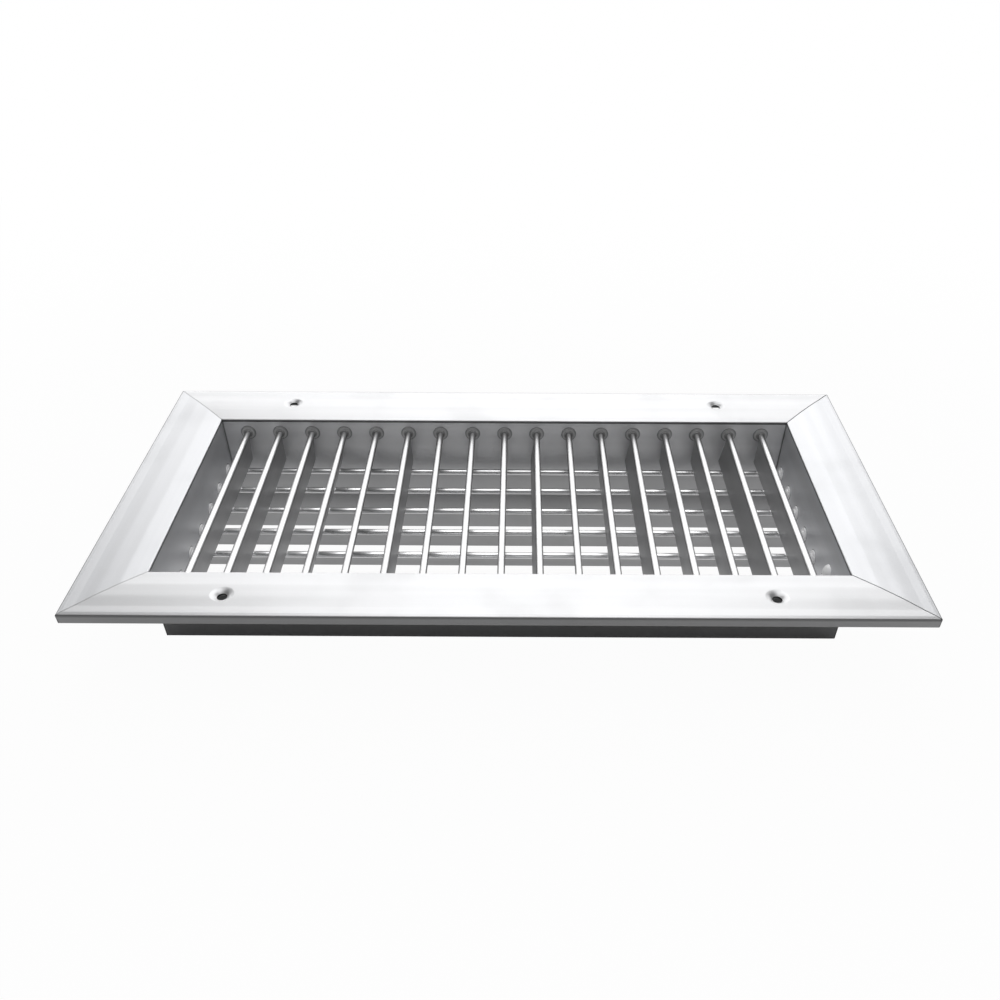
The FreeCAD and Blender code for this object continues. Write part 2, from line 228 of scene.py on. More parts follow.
def mixed_colour(tree, share, first, second):
    """Mix of two colours. The colour sockets of this node share their names, so they go by number."""
    inputs = {0: share, 6: (*first, 1.0), 7: (*second, 1.0)}
    return add_node(tree, "ShaderNodeMix", inputs, data_type="RGBA").outputs[2]


def shaded_colour(tree, colour, shade):
    """A colour, or a node's colour, multiplied by a grey shade."""
    if not isinstance(colour, bpy.types.NodeSocket):
        colour = tuple(colour)[:3]
    node = add_node(tree, "ShaderNodeVectorMath", {0: colour, "Scale": shade}, operation="SCALE")
    return node.outputs[0]


def new_group(name, inputs, outputs):
    """Empty shader node group with named sockets, and its input and output nodes."""
    group = bpy.data.node_groups.new(name, "ShaderNodeTree")
    for label, kind, value in inputs:
        socket = group.interface.new_socket(label, in_out="INPUT", socket_type=kind)
        if value is not None:
            socket.default_value = value
    for label in outputs:
        group.interface.new_socket(label, in_out="OUTPUT", socket_type="NodeSocketFloat")
    return group, group.nodes.new("NodeGroupInput"), group.nodes.new("NodeGroupOutput")


def finish_group(group, out, results):
    """Wire the results of a group to its output node."""
    for label, socket in results.items():
        group.links.new(socket, out.inputs[label])
    return group


# Effects that several finishes share

def die_lines_group():
    """Fine straight lines that the extrusion die leaves along a profile."""
    group, given, out = new_group(
        "Die lines",
        [("Vector", "NodeSocketVector", None), ("Fineness", "NodeSocketFloat", 900.0)],
        ["Height", "Shade"],
    )
    vector, fineness = given.outputs["Vector"], given.outputs["Fineness"]
    fine = noise(group, vector, fineness, detail=3.0, roughness=0.65)
    broad_scale = math_node(group, "MULTIPLY", fineness, 0.13)
    broad = noise(group, vector, broad_scale, detail=2.0)
    height = math_node(group, "MULTIPLY_ADD", broad, 0.6, fine)
    shade = map_range(group, broad, 0.3, 0.7, 0.965, 1.035)
    return finish_group(group, out, {"Height": height, "Shade": shade})


def etched_grain_group():
    """The fine even tooth of an etched and anodised surface."""
    group, given, out = new_group(
        "Etched grain",
        [("Vector", "NodeSocketVector", None), ("Scale", "NodeSocketFloat", 2600.0)],
        ["Height", "Shade"],
    )
    vector, scale = given.outputs["Vector"], given.outputs["Scale"]
    grain = noise(group, vector, scale, detail=2.0, roughness=0.6)
    shade = map_range(group, grain, 0.25, 0.75, 0.985, 1.015)
    return finish_group(group, out, {"Height": grain, "Shade": shade})


def handling_marks_group():
    """Soft smudges and a few tiny dull specks from handling and storage."""
    group, given, out = new_group(
        "Handling marks",
        [("Vector", "NodeSocketVector", None), ("Speck Share", "NodeSocketFloat", 0.012)],
        ["Smudge", "Speck"],
    )
    cloud = noise(group, given.outputs["Vector"], scale=24.0, detail=4.0, roughness=0.55)
    smudge = map_range(group, cloud, 0.45, 0.72, 0.0, 1.0)
    scattered = {"Vector": given.outputs["Vector"], "Scale": 210.0, "Randomness": 1.0}
    cells = add_node(group, "ShaderNodeTexVoronoi", scattered)
    chosen = add_node(group, "ShaderNodeSeparateColor", {"Color": cells.outputs["Color"]})
    rare = math_node(group, "LESS_THAN", chosen.outputs[0], given.outputs["Speck Share"])
    dot = map_range(group, cells.outputs["Distance"], 0.06, 0.1, 1.0, 0.0)
    speck = math_node(group, "MULTIPLY", rare, dot)
    return finish_group(group, out, {"Smudge": smudge, "Speck": speck})


def mitre_edge_group():
    """Shade that darkens a hair's width on both sides of the sawn mitres."""
    group, given, out = new_group(
        "Mitre edge",
        [
            ("Position", "NodeSocketVector", None),
            ("Half Length", "NodeSocketFloat", FACE_HALF_LENGTH),
            ("Half Width", "NodeSocketFloat", FACE_HALF_WIDTH),
        ],
        ["Shade"],
    )
    x, y, z = split(group, given.outputs["Position"])
    along, across = math_node(group, "ABSOLUTE", x), math_node(group, "ABSOLUTE", y)
    from_end = math_node(group, "SUBTRACT", given.outputs["Half Length"], along)
    from_side = math_node(group, "SUBTRACT", given.outputs["Half Width"], across)
    apart = math_node(group, "ABSOLUTE", math_node(group, "SUBTRACT", from_end, from_side))
    start, end = (LIP_TOP - depth for depth in NECK_CORNER_DEPTHS)
    shade = map_range(group, z, start, end, NECK_CORNER_SHADE, MITRE_SHADE)
    return finish_group(group, out, {"Shade": map_range(group, apart, *MITRE_FADE, shade, 1.0)})


def past_rectangle(group, along, across, half_length, half_width):
    """How far a place lies past the sides of a rectangle round the origin."""
    past_ends = math_node(group, "SUBTRACT", along, half_length)
    past_sides = math_node(group, "SUBTRACT", across, half_width)
    return math_node(group, "MAXIMUM", past_ends, past_sides)


def painted_lip_and_wall_group():
    """Painted light and shade of the lip, of the neck's inner walls and of its outer walls.

    The lip darkens with painted shade towards its top edge, a thin painted shade line runs along the
    inner walls under the opening's rounded edge, the inner walls are painted lighter by a share that
    changes between their top and their lower part, and the outer walls darken with painted shade
    towards the flange over them.
    """
    group, given, out = new_group(
        "Painted lip and wall",
        [
            ("Position", "NodeSocketVector", None),
            ("Lip Top", "NodeSocketFloat", LIP_TOP),
            ("Upper Wall Painted Light", "NodeSocketFloat", LONG_UPPER_WALL_PAINTED_LIGHT),
            ("Lower Wall Painted Light", "NodeSocketFloat", LOWER_WALL_PAINTED_LIGHT),
            ("Painted Line Shade", "NodeSocketFloat", PAINTED_EDGE_LINE_SHADE),
            ("Painted Shelter Shade", "NodeSocketFloat", PAINTED_SHELTER_SHADE),
        ],
        ["Shade"],
    )
    x, y, z = split(group, given.outputs["Position"])
    along, across = math_node(group, "ABSOLUTE", x), math_node(group, "ABSOLUTE", y)
    depth = math_node(group, "SUBTRACT", given.outputs["Lip Top"], z)

    # Painted shade: the lip darkens towards its top edge
    lip_inside = (FACE_HALF_LENGTH - WALL / 2, FACE_HALF_WIDTH - WALL / 2)
    past_face = past_rectangle(group, along, across, *lip_inside)
    on_lip = map_range(group, past_face, -EDGE_BLUR, EDGE_BLUR, 0.0, 1.0)
    painted_lip_shade = map_range(group, depth, *LIP_DEPTHS, PAINTED_LIP_TOP_SHADE, PAINTED_LIP_SHADE)
    lip = shade_where(group, on_lip, painted_lip_shade)

    # Painted light on the inner walls, and a painted shade line under the opening's edge
    wall_middle = (NECK_HALF_LENGTH - WALL / 2, NECK_HALF_WIDTH - WALL / 2)
    past_wall = past_rectangle(group, along, across, *wall_middle)
    within_walls = map_range(group, past_wall, -EDGE_BLUR, EDGE_BLUR, 1.0, 0.0)
    line_start = map_range(group, depth, *EDGE_LINE_START, 0.0, 1.0)
    line_end = map_range(group, depth, *EDGE_LINE_END, 0.0, 1.0)
    line = math_node(group, "SUBTRACT", line_start, line_end)
    painted_line_change = product(group, line, math_node(group, "SUBTRACT", given.outputs["Painted Line Shade"], 1.0))
    upper, lower = given.outputs["Upper Wall Painted Light"], given.outputs["Lower Wall Painted Light"]
    painted_wall_light = map_range(group, depth, *INNER_WALL_DEPTHS, upper, lower)
    wall_change = math_node(group, "SUBTRACT", painted_wall_light, 1.0)
    change = math_node(group, "MULTIPLY_ADD", line_end, wall_change, painted_line_change)
    wall = math_node(group, "MULTIPLY_ADD", within_walls, change, 1.0)

    # Painted shade on the outer walls under the flange
    above_start = map_range(group, z, *SHELTER_START, 0.0, 1.0)
    below_flange = map_range(group, z, *SHELTER_END, 1.0, 0.0)
    outside = math_node(group, "SUBTRACT", 1.0, within_walls)
    sheltered = product(group, above_start, below_flange, outside)
    outer_wall = shade_where(group, sheltered, given.outputs["Painted Shelter Shade"])
    return finish_group(group, out, {"Shade": product(group, lip, wall, outer_wall)})


def nose_bead_group():
    """Mask that is one on a blade's round nose and zero on its web."""
    group, given, out = new_group(
        "Nose bead",
        [("Position", "NodeSocketVector", None), ("Start Height", "NodeSocketFloat", FRONT_BEAD_START)],
        ["Mask"],
    )
    _, _, z = split(group, given.outputs["Position"])
    above = math_node(group, "SUBTRACT", z, given.outputs["Start Height"])
    return finish_group(group, out, {"Mask": map_range(group, above, -BEAD_BLUR, BEAD_BLUR, 0.0, 1.0)})


def pivot_distance_group():
    """Distance from the turning line of the nearest blade of an even row."""
    group, given, out = new_group(
        "Pivot distance",
        [
            ("Position", "NodeSocketVector", None),
            *((name, "NodeSocketFloat", value) for name, value in FRONT_PIVOTS.items()),
        ],
        ["Distance"],
    )
    x, _, z = split(group, given.outputs["Position"])
    along = math_node(group, "SUBTRACT", x, given.outputs["First"])
    half = math_node(group, "MULTIPLY", given.outputs["Pitch"], 0.5)
    nearest = math_node(group, "WRAP", along, half, math_node(group, "MULTIPLY", half, -1.0))
    above = math_node(group, "SUBTRACT", z, given.outputs["Height"])
    return finish_group(group, out, {"Distance": flat_length(group, nearest, above)})


def shared_group(name):
    """One of the shared effects, built the first time that a finish asks for it."""
    makers = {
        "Die lines": die_lines_group,
        "Etched grain": etched_grain_group,
        "Handling marks": handling_marks_group,
        "Mitre edge": mitre_edge_group,
        "Painted lip and wall": painted_lip_and_wall_group,
        "Nose bead": nose_bead_group,
        "Pivot distance": pivot_distance_group,
    }
    return bpy.data.node_groups.get(name) or makers[name]()


def place_group(tree, name, inputs):
    """Put a shared effect into a finish."""
    return add_node(tree, "ShaderNodeGroup", inputs, node_tree=shared_group(name))


# Finishes

def new_finish(name):
    """Material with an empty Principled surface, and its tree, surface and object position."""
    material = bpy.data.materials.new(name)
    material.use_nodes = True
    tree = material.node_tree
    surface = tree.nodes["Principled BSDF"]
    place = add_node(tree, "ShaderNodeTexCoord")
    return material, tree, surface, place.outputs["Object"]


def set_surface(surface, constants):
    """Set constants on a Principled surface's own sockets."""
    for name, value in constants.items():
        surface.inputs[name].default_value = value


def add_bump(tree, surface, height, strength, distance):
    """Give a surface the fine relief of a height."""
    bump = add_node(tree, "ShaderNodeBump", {"Height": height, "Strength": strength, "Distance": distance})
    tree.links.new(bump.outputs[0], surface.inputs["Normal"])


def painted_bore_shade(tree, place):
    """Painted shade that darkens the walls of the four screw holes."""
    x, y, _ = split(tree, place)
    along = math_node(tree, "SUBTRACT", math_node(tree, "ABSOLUTE", x), SCREW_HALF_LENGTH)
    across = math_node(tree, "SUBTRACT", math_node(tree, "ABSOLUTE", y), SCREW_HALF_WIDTH)
    start, end = (SCREW_HOLE_RADIUS + fade for fade in BORE_FADE)
    return map_range(tree, flat_length(tree, along, across), start, end, PAINTED_BORE_SHADE, 1.0)


def painted_bush_seat_shade(tree, place, run):
    """Painted shade: a dark line on the opening's walls around each bush."""
    x, y, z = split(tree, place)
    if run == ALONG_X:
        along, across, pivots, neck_half = x, y, FRONT_PIVOTS, NECK_HALF_WIDTH
    else:
        along, across, pivots, neck_half = y, x, REAR_PIVOTS, NECK_HALF_LENGTH
    row_place = add_node(tree, "ShaderNodeCombineXYZ", {0: along, 1: across, 2: z}).outputs[0]
    outward = math_node(tree, "ABSOLUTE", across)
    wall_middle = neck_half - WALL / 2
    outside = map_range(tree, outward, wall_middle - EDGE_BLUR, wall_middle + EDGE_BLUR, 0.0, 1.0)
    pivot = place_group(tree, "Pivot distance", {"Position": row_place, **pivots})
    start, end = (BUSH_HEAD_RADIUS + fade for fade in BUSH_SEAT_FADE)
    line = map_range(tree, pivot.outputs["Distance"], start, end, PAINTED_BUSH_SEAT_SHADE, 1.0)
    return math_node(tree, "MAXIMUM", line, outside)


def painted_bush_head_shade(tree, place):
    """Painted shade of a front bush: darker at the rim of its head and around its collar."""
    distance = place_group(tree, "Pivot distance", {"Position": place}).outputs["Distance"]
    rim_start, collar_end = BUSH_HEAD_RADIUS - BUSH_EDGE_FADE, BUSH_COLLAR_RADIUS + BUSH_EDGE_FADE
    rim = map_range(tree, distance, rim_start, BUSH_HEAD_RADIUS, 1.0, PAINTED_BUSH_RIM_SHADE)
    collar = map_range(tree, distance, BUSH_COLLAR_RADIUS, collar_end, PAINTED_BUSH_COLLAR_SHADE, 1.0)
    return product(tree, rim, collar)


def satin_aluminium(name, run, colour, roughness, finish, framed=False, screwed=False, bead=None):
    """Natural anodised aluminium extrusion whose die lines run along X or Y.

    A bead is the height where a blade's round nose starts, and the nose's colour, lighter than the
    web as a painted highlight, and roughness. The nose's edges get painted shade. A framed one gets
    the painted light and shade of its lip, walls and bush seats, and a screwed one the painted shade
    of its screw bores.
    """
    material, tree, surface, place = new_finish(name)
    stretch = (LINE_STRETCH, 1.0, 1.0) if run == ALONG_X else (1.0, LINE_STRETCH, 1.0)
    drawn = add_node(tree, "ShaderNodeMapping", {"Vector": place, "Scale": stretch})
    lines = place_group(tree, "Die lines", {"Vector": drawn.outputs[0], "Fineness": finish.line_fineness})
    grain = place_group(tree, "Etched grain", {"Vector": place})
    marks = place_group(tree, "Handling marks", {"Vector": place})
    smudge = marks.outputs["Smudge"]

    dulled = map_range(tree, smudge, 0.0, 1.0, 1.0, SMUDGED_SHADE)
    specked = shade_where(tree, marks.outputs["Speck"], SPECK_SHADE)
    shade = product(tree, lines.outputs["Shade"], grain.outputs["Shade"], dulled, specked)
    if framed:
        # Painted light and shade of the lip, the walls and the bush seats; the mitres' dark lines are
        # joints
        mitres = place_group(tree, "Mitre edge", {"Position": place}).outputs["Shade"]
        upper_shade = LONG_UPPER_WALL_PAINTED_LIGHT if run == ALONG_X else SHORT_UPPER_WALL_PAINTED_LIGHT
        walls = place_group(tree, "Painted lip and wall", {"Position": place, "Upper Wall Painted Light": upper_shade})
        shade = product(tree, shade, mitres, walls.outputs["Shade"], painted_bush_seat_shade(tree, place, run))
    if screwed:
        # Painted shade in the screw bores
        shade = product(tree, shade, painted_bore_shade(tree, place))
    if bead:
        bead_height, nose_colour_and_highlight, bead_roughness = bead
        nose = place_group(tree, "Nose bead", {"Position": place, "Start Height": bead_height})
        on_nose = nose.outputs["Mask"]
        # Painted shade on the nose's edges where they turn away from the view, and a nose colour that is a
        # painted highlight
        turned_away = add_node(tree, "ShaderNodeLayerWeight", {"Blend": 0.5}).outputs["Facing"]
        painted_edge_shade = map_range(tree, turned_away, 0.3, 0.75, 1.0, PAINTED_NOSE_EDGE_SHADE)
        shade = product(tree, shade, shade_where(tree, on_nose, painted_edge_shade))
        roughness = math_node(tree, "MULTIPLY_ADD", on_nose, bead_roughness - roughness, roughness)
        colour = mixed_colour(tree, on_nose, colour, nose_colour_and_highlight)
    tree.links.new(shaded_colour(tree, colour, shade), surface.inputs["Base Color"])

    worn = math_node(tree, "MULTIPLY_ADD", smudge, SMUDGE_ROUGHNESS, roughness)
    uneven = math_node(tree, "MULTIPLY_ADD", lines.outputs["Height"], LINE_ROUGHNESS, worn)
    tree.links.new(uneven, surface.inputs["Roughness"])

    height = math_node(tree, "MULTIPLY", lines.outputs["Height"], finish.line_depth)
    height = math_node(tree, "MULTIPLY_ADD", grain.outputs["Height"], finish.grain_depth, height)
    add_bump(tree, surface, height, strength=1.0, distance=1.0)
    set_surface(surface, {"Metallic": ANODISED_METALLIC, "Specular IOR Level": 0.5})
    return material


def zinc_plate(finish):
    """Zinc plated flat steel of the corner keys, with soft rolling lines."""
    material, tree, surface, place = new_finish("zinc_plated_key")
    stretch = (ZINC_LINE_STRETCH, 1.0, 1.0)
    drawn = add_node(tree, "ShaderNodeMapping", {"Vector": place, "Scale": stretch})
    lines = place_group(tree, "Die lines", {"Vector": drawn.outputs[0], "Fineness": ZINC_LINE_FINENESS})
    marks = place_group(tree, "Handling marks", {"Vector": place, "Speck Share": ZINC_SPECK_SHARE})
    smudge = marks.outputs["Smudge"]
    cloudy = map_range(tree, smudge, 0.0, 1.0, 1.0, ZINC_SMUDGED_SHADE)
    shade = product(tree, lines.outputs["Shade"], cloudy)
    tree.links.new(shaded_colour(tree, finish.key_colour, shade), surface.inputs["Base Color"])
    uneven = math_node(tree, "MULTIPLY_ADD", smudge, ZINC_SMUDGE_ROUGHNESS, ZINC_ROUGHNESS)
    tree.links.new(uneven, surface.inputs["Roughness"])
    add_bump(tree, surface, lines.outputs["Height"], strength=0.6, distance=FINE_RELIEF)
    set_surface(surface, {"Metallic": 1.0})
    return material


def moulded_nylon(name, colour, roughness, cloud, glow, coat, headed=False):
    """Moulded nylon with faint cloudiness and the dull tooth of its mould.

    Its glow sets its translucency and a painted glow, an emission that stands in for the light
    that comes through it from the duct side. A headed one gets the painted shade of the front
    bushes' round heads.
    """
    material, tree, surface, place = new_finish(name)
    flow = noise(tree, place, NYLON_CLOUD_SCALE, detail=3.0)
    tooth = place_group(tree, "Etched grain", {"Vector": place, "Scale": NYLON_TOOTH_SCALE})
    shade = map_range(tree, flow, 0.3, 0.7, 1.0 - cloud, 1.0 + cloud)
    if headed:
        # Painted shade at the rim and collar of the front bushes' heads
        shade = product(tree, shade, painted_bush_head_shade(tree, place))
    tree.links.new(shaded_colour(tree, colour, shade), surface.inputs["Base Color"])
    smoothest = roughness - NYLON_UNEVENNESS / 2
    uneven = math_node(tree, "MULTIPLY_ADD", flow, NYLON_UNEVENNESS, smoothest)
    tree.links.new(uneven, surface.inputs["Roughness"])
    add_bump(tree, surface, tooth.outputs["Height"], strength=0.5, distance=FINE_RELIEF)
    constants = {
        "Metallic": 0.0,
        "IOR": 1.53,
        "Coat Weight": coat,
        "Coat Roughness": 0.12,
        # Subsurface is the nylon's translucency; the emission is a painted glow
        "Subsurface Weight": glow,
        "Subsurface Radius": (1.0, 1.0, 0.95),
        "Subsurface Scale": 0.0012,
        "Emission Color": NYLON_PAINTED_GLOW_COLOUR,
        "Emission Strength": glow / 2,
    }
    set_surface(surface, constants)
    return material


def dress(names, material):
    """Give CAD nodes their finish."""
    for name in names:
        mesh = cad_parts[name].data
        mesh.materials.clear()
        mesh.materials.append(material)


def nodes_named(start):
    """Names of the CAD nodes that start with a word, in order."""
    found = sorted(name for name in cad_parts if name.startswith(start))
    if not found:
        raise RuntimeError("the packed model has no piece named " + start)
    return found


# Settings that a user would change

class GrilleFinish(bpy.types.PropertyGroup):
    """Colours and surface sizes of the grille."""

    frame_colour: FloatVectorProperty(
        name="Frame colour",
        description="Colour of the anodised flange and neck",
        subtype="COLOR",
        default=(0.6, 0.602, 0.61),
        min=0.0,
        max=1.0,
    )
    blade_colour: FloatVectorProperty(
        name="Blade colour",
        description="Colour of the anodised blades",
        subtype="COLOR",
        default=(0.5, 0.501, 0.507),
        min=0.0,
        max=1.0,
    )
    # The noses' lighter colour is a painted highlight; their polish is in their lower roughness
    nose_colour_and_highlight: FloatVectorProperty(
        name="Nose colour",
        description="Colour of the blades' round noses, which handling has polished",
        subtype="COLOR",
        default=(0.85, 0.852, 0.858),
        min=0.0,
        max=1.0,
    )
    key_colour: FloatVectorProperty(
        name="Key colour",
        description="Colour of the zinc plated corner keys",
        subtype="COLOR",
        default=(0.56, 0.58, 0.6),
        min=0.0,
        max=1.0,
    )
    front_bush_colour: FloatVectorProperty(
        name="Front bush colour",
        description="Colour of the grey nylon bushes",
        subtype="COLOR",
        default=(0.78, 0.78, 0.785),
        min=0.0,
        max=1.0,
    )
    rear_bush_colour: FloatVectorProperty(
        name="Rear bush colour",
        description="Colour of the natural nylon bushes and the plug",
        subtype="COLOR",
        default=(0.94, 0.94, 0.94),
        min=0.0,
        max=1.0,
    )
    frame_roughness: FloatProperty(
        name="Frame roughness",
        description="How dull the flange and neck are",
        subtype="FACTOR",
        default=0.38,
        min=0.0,
        max=1.0,
    )
    blade_roughness: FloatProperty(
        name="Blade roughness",
        description="How dull the blades' webs are",
        subtype="FACTOR",
        default=0.42,
        min=0.0,
        max=1.0,
    )
    front_bead_roughness: FloatProperty(
        name="Front nose roughness",
        description="How dull the front blades' round noses are",
        subtype="FACTOR",
        default=0.3,
        min=0.0,
        max=1.0,
    )
    rear_bead_roughness: FloatProperty(
        name="Rear nose roughness",
        description="How dull the rear blades' round noses are",
        subtype="FACTOR",
        default=0.22,
        min=0.0,
        max=1.0,
    )
    line_fineness: FloatProperty(
        name="Line fineness",
        description="Die lines to a metre",
        default=900.0,
        min=10.0,
    )
    line_depth: FloatProperty(
        name="Line depth",
        description="Depth of the die lines",
        unit="LENGTH",
        precision=6,
        default=0.000004,
        min=0.0,
    )
    grain_depth: FloatProperty(
        name="Grain depth",
        description="Depth of the etched grain",
        unit="LENGTH",
        precision=6,
        default=0.000003,
        min=0.0,
    )


class GrilleStudio(bpy.types.PropertyGroup):
    """Camera, floor and lights."""

    camera_place: FloatVectorProperty(
        name="Camera place",
        description="Where the camera stands",
        subtype="TRANSLATION",
        unit="LENGTH",
        precision=4,
        default=(0.008008, -0.405122, 0.328786),
    )
    camera_pitch: FloatProperty(
        name="Camera pitch",
        description="How far the camera looks down",
        subtype="ANGLE",
        default=math.radians(40.962),
    )
    camera_yaw: FloatProperty(
        name="Camera yaw",
        description="How far the camera is turned to the left",
        subtype="ANGLE",
        default=math.radians(-0.162),
    )
    camera_roll: FloatProperty(
        name="Camera roll",
        description="How far the camera leans",
        subtype="ANGLE",
        default=math.radians(0.406),
    )
    camera_lens: FloatProperty(
        name="Camera lens",
        description="Focal length in millimetres",
        default=32.33,
        min=1.0,
    )
    camera_shift: FloatVectorProperty(
        name="Camera shift",
        description="Shift of the picture, as a share of its width",
        size=2,
        default=(-0.018785, 0.07906),
    )
    floor_size: FloatProperty(
        name="Floor size",
        description="Length of the floor's side",
        unit="LENGTH",
        default=9.0,
        min=1.0,
    )
    floor_colour: FloatVectorProperty(
        name="Floor colour",
        description="Colour of the floor",
        subtype="COLOR",
        default=(0.6, 0.6, 0.6),
        min=0.0,
        max=1.0,
    )
    floor_white: FloatProperty(
        name="Floor white",
        description="Share of plain white in the floor as the camera sees it",
        subtype="FACTOR",
        default=0.97,
        min=0.0,
        max=1.0,
    )
    # Painted glow on the neck's floor that only metal mirrors
    near_glow: FloatProperty(
        name="Near glow",
        description="Share of white in the near half of the neck's floor as the metal mirrors it",
        subtype="FACTOR",
        default=1.0,
        min=0.0,
        max=1.0,
    )
    far_glow: FloatProperty(
        name="Far glow",
        description="Share of white in the far half of the neck's floor, which the far wall shades",
        subtype="FACTOR",
        default=0.5,
        min=0.0,
        max=1.0,
    )
    room_level: FloatProperty(
        name="Room level",
        description="Brightness of the pale room all round",
        default=0.16,
        min=0.0,
    )
    window_place: FloatProperty(
        name="Window place",
        description="How far behind the grille the wall of soft panels stands",
        unit="LENGTH",
        default=1.3,
        min=0.5,
    )
    low_window_level: FloatProperty(
        name="Low window level",
        description="Brightness of the long low panel behind the grille",
        default=1.75,
        min=0.0,
    )
    high_window_level: FloatProperty(
        name="High window level",
        description="Brightness of the panel over the middle of the low one",
        default=1.85,
        min=0.0,
    )
    left_window_level: FloatProperty(
        name="Left window level",
        description="Brightness of the panel over the left end of the low one",
        default=0.25,
        min=0.0,
    )
    right_window_level: FloatProperty(
        name="Right window level",
        description="Brightness of the panel over the right end of the low one",
        default=0.5,
        min=0.0,
    )
    ceiling_level: FloatProperty(
        name="Ceiling level",
        description="Brightness of the soft panel over the grille",
        default=1.9,
        min=0.0,
    )


# Stage

def flat_panel(name, width, height):
    """Flat rectangle about its own middle, as a mesh object."""
    shape = bmesh.new()
    bmesh.ops.create_grid(shape, x_segments=1, y_segments=1, size=0.5)
    bmesh.ops.scale(shape, vec=(width, height, 1.0), verts=shape.verts)
    mesh = bpy.data.meshes.new(name)
    shape.to_mesh(mesh)
    shape.free()
    panel = bpy.data.objects.new(name, mesh)
    bpy.context.scene.collection.objects.link(panel)
    return panel


def aim(place, target):
    """Matrix of a lamp at a place that shines towards a target."""
    turn = (Vector(target) - Vector(place)).to_track_quat("-Z", "Y")
    return Matrix.Translation(place) @ turn.to_matrix().to_4x4()


def soft_lamp(name, place, target, width, height, level):
    """Rectangular soft lamp whose face has the given brightness."""
    data = bpy.data.lights.new(name, "AREA")
    data.shape = "RECTANGLE"
    data.size = width
    data.size_y = height
    data.energy = level * math.pi * width * height
    lamp = bpy.data.objects.new(name, data)
    lamp.matrix_world = aim(place, target)
    lamp.visible_camera = False
    bpy.context.scene.collection.objects.link(lamp)


def set_camera(studio):
    """Camera at the photograph's place and angle."""
    data = bpy.data.cameras.new("camera")
    data.sensor_width = 36.0
    data.lens = studio.camera_lens
    data.shift_x, data.shift_y = studio.camera_shift
    data.clip_start = 0.01
    data.clip_end = 50.0
    camera = bpy.data.objects.new("camera", data)
    turn = Matrix.Rotation(studio.camera_yaw, 4, "Z")
    tilt = Matrix.Rotation(math.pi / 2 - studio.camera_pitch, 4, "X")
    roll = Matrix.Rotation(studio.camera_roll, 4, "Z")
    camera.matrix_world = Matrix.Translation(studio.camera_place) @ turn @ tilt @ roll
    bpy.context.scene.collection.objects.link(camera)
    bpy.context.scene.camera = camera


def inside_rectangle(tree, place, half_length, half_width, blur):
    """Mask that is one inside a rectangle round the origin and falls to zero over the blur."""
    x, y, _ = split(tree, place)
    masks = []
    for offset, half in ((x, half_length), (y, half_width)):
        away = math_node(tree, "ABSOLUTE", offset)
        masks.append(map_range(tree, away, half, half + blur, 1.0, 0.0))
    return product(tree, *masks)


def set_floor(studio):
    """Pale matt floor that shows white and keeps a trace of the grille's shadow."""
    floor = flat_panel("floor", studio.floor_size, studio.floor_size)
    floor.data.transform(Matrix.Translation((0.0, 0.0, -FLOOR_DROP)))
    material, tree, surface, place = new_finish("pale_floor")
    colour = (*studio.floor_colour, 1.0)
    set_surface(surface, {"Base Color": colour, "Roughness": 1.0, "Specular IOR Level": 0.0})
    rays = add_node(tree, "ShaderNodeLightPath")
    glossy, transmitted = rays.outputs["Is Glossy Ray"], rays.outputs["Is Transmission Ray"]
    mirrored = math_node(tree, "MAXIMUM", glossy, transmitted)
    # Painted glow: white under the neck that only the metal's reflections see, dimmed in the far part as
    # painted shade
    glow_half = (NECK_HALF_LENGTH - GLOW_MARGIN, NECK_HALF_WIDTH - GLOW_MARGIN)
    under_neck = inside_rectangle(tree, place, *glow_half, GLOW_BLUR)
    near_grille = inside_rectangle(tree, place, FACE_HALF_LENGTH, FACE_HALF_WIDTH, SHADOW_REACH)
    far_away = math_node(tree, "SUBTRACT", 1.0, near_grille)
    _, y, _ = split(tree, place)
    glow = map_range(tree, y, NEAR_GLOW_END, FAR_GLOW_START, studio.near_glow, studio.far_glow)
    white_in_metal = math_node(tree, "MULTIPLY_ADD", under_neck, glow, far_away)
    in_metal = product(tree, mirrored, white_in_metal)
    white_in_view = shade_where(tree, near_grille, studio.floor_white)
    in_view = product(tree, rays.outputs["Is Camera Ray"], white_in_view)
    share = math_node(tree, "MAXIMUM", in_metal, in_view)
    white = add_node(tree, "ShaderNodeEmission", {"Strength": 1.0})
    blend = add_node(tree, "ShaderNodeMixShader", {0: share, 1: surface.outputs[0], 2: white.outputs[0]})
    tree.links.new(blend.outputs[0], tree.nodes["Material Output"].inputs["Surface"])
    floor.data.materials.append(material)


def set_room(studio):
    """Even pale room."""
    world = bpy.data.worlds.new("pale_room")
    world.use_nodes = True
    background = world.node_tree.nodes["Background"]
    background.inputs["Color"].default_value = (1.0, 1.0, 1.0, 1.0)
    background.inputs["Strength"].default_value = studio.room_level
    bpy.context.scene.world = world
    bpy.context.scene.view_settings.view_transform = "Standard"


# Operators, one for each piece or group of like pieces

class GRILLE_OT_finish_frame(bpy.types.Operator):
    """Give the four mitred frame members their satin anodised finish"""

    bl_idname = "grille.finish_frame"
    bl_label = "Finish frame"

    def execute(self, context):
        finish = context.scene.grille_finish
        colour, roughness = finish.frame_colour, finish.frame_roughness
        long_sides = satin_aluminium(
            "frame_metal_x", ALONG_X, colour, roughness, finish, framed=True, screwed=True
        )
        cool_colour = [channel * tint for channel, tint in zip(colour, COOL_TINT)]
        short_sides = satin_aluminium("frame_metal_y", ALONG_Y, cool_colour, roughness, finish, framed=True)
        dress(["frame_near", "frame_far"], long_sides)
        dress(["frame_left", "frame_right"], short_sides)
        return {"FINISHED"}


